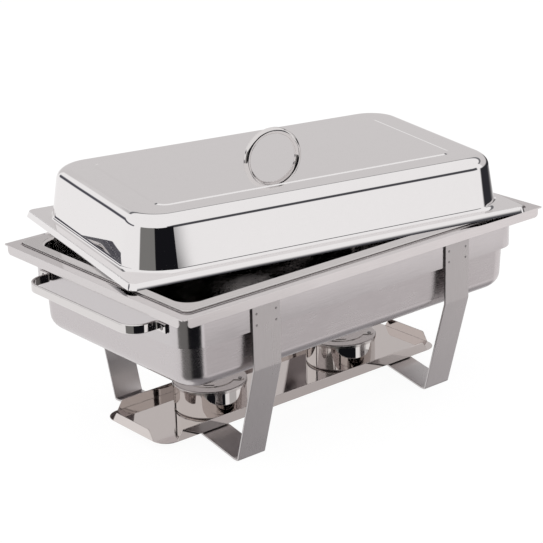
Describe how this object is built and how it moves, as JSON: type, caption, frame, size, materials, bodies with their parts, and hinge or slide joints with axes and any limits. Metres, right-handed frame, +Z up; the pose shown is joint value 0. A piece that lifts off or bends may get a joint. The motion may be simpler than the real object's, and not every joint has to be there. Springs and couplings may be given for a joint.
{
  "type": "chafing dish food warmer",
  "caption": "Rectangular steel chafing dish with bent strap legs, nested water and food pans, domed loose lid, end handles and capped fuel cups on a sliding burner tray.",
  "frame": {"origin": "on the table under the middle of the frame", "axes": "+X along the dish to the viewer's right, +Y away from the serving side, +Z up"},
  "size_m": [0.6093, 0.4242, 0.331],
  "materials": {
    "rim": "satin folded sheet",
    "skirt": "satin sheet",
    "leg_strap": "satin strap",
    "water_pan": "satin drawn sheet",
    "food_pan": "bright drawn sheet",
    "lid_mirror": "mirror polished steel",
    "handle_bar": "mirror polished bar",
    "burner_tray": "mirror polished sheet",
    "cup_mirror": "mirror polished steel",
    "fuel_tin": "plain tinplate",
    "fastener": "satin"
  },
  "bodies": {
    "frame": {"rim": "rim", "skirt": "skirt", "leg_left": "leg_strap", "leg_right": "leg_strap", "leg_rivets": "fastener", "handle_rivets": "fastener", "end_handle_left": "handle_bar", "end_handle_right": "handle_bar"},
    "water_pan": {"water_pan": "water_pan"},
    "food_pan": {"food_pan": "food_pan"},
    "lid": {"lid_shell": "lid_mirror", "lid_handle": "lid_mirror", "lid_screws": "fastener", "lid_washers": "fastener"},
    "tray": {"burner_tray": "burner_tray"},
    "fuel_cup_left": {"fuel_cup_left": "cup_mirror", "fuel_tin_left": "fuel_tin"},
    "cup_cap_left": {"cup_cap_left": "cup_mirror", "damper_rivet_left": "fastener"},
    "damper_left": {"damper_left": "cup_mirror"},
    "fuel_cup_right": {"fuel_cup_right": "cup_mirror", "fuel_tin_right": "fuel_tin"},
    "cup_cap_right": {"cup_cap_right": "cup_mirror", "damper_rivet_right": "fastener"},
    "damper_right": {"damper_right": "cup_mirror"}
  },
  "joints": [
    {"name": "water_pan_lift", "type": "slide", "parent": "frame", "child": "water_pan", "axis": [0, 0, 1], "range_m": [0, 0.13]},
    {"name": "food_pan_lift", "type": "slide", "parent": "water_pan", "child": "food_pan", "axis": [0, 0, 1], "range_m": [0, 0.09]},
    {"name": "lid_lift", "type": "slide", "parent": "food_pan", "child": "lid", "axis": [0, 0, 1], "range_m": [0, 0.15]},
    {"name": "tray_slide", "type": "slide", "parent": "frame", "child": "tray", "axis": [1, 0, 0], "range_m": [-0.24, 0.24]},
    {"name": "cup_lift_left", "type": "slide", "parent": "tray", "child": "fuel_cup_left", "axis": [0, 0, 1], "range_m": [0, 0.03]},
    {"name": "cap_lift_left", "type": "slide", "parent": "fuel_cup_left", "child": "cup_cap_left", "axis": [0, 0, 1], "range_m": [0, 0.025]},
    {"name": "damper_swing_left", "type": "hinge", "parent": "cup_cap_left", "child": "damper_left", "pos_m": [-0.09027, -0.02956, 0.0525], "axis": [0, 0, 1], "range_deg": [0, 95]},
    {"name": "cup_lift_right", "type": "slide", "parent": "tray", "child": "fuel_cup_right", "axis": [0, 0, 1], "range_m": [0, 0.03]},
    {"name": "cap_lift_right", "type": "slide", "parent": "fuel_cup_right", "child": "cup_cap_right", "axis": [0, 0, 1], "range_m": [0, 0.025]},
    {"name": "damper_swing_right", "type": "hinge", "parent": "cup_cap_right", "child": "damper_right", "pos_m": [0.12123, -0.02956, 0.0525], "axis": [0, 0, 1], "range_deg": [0, 95]}
  ]
}
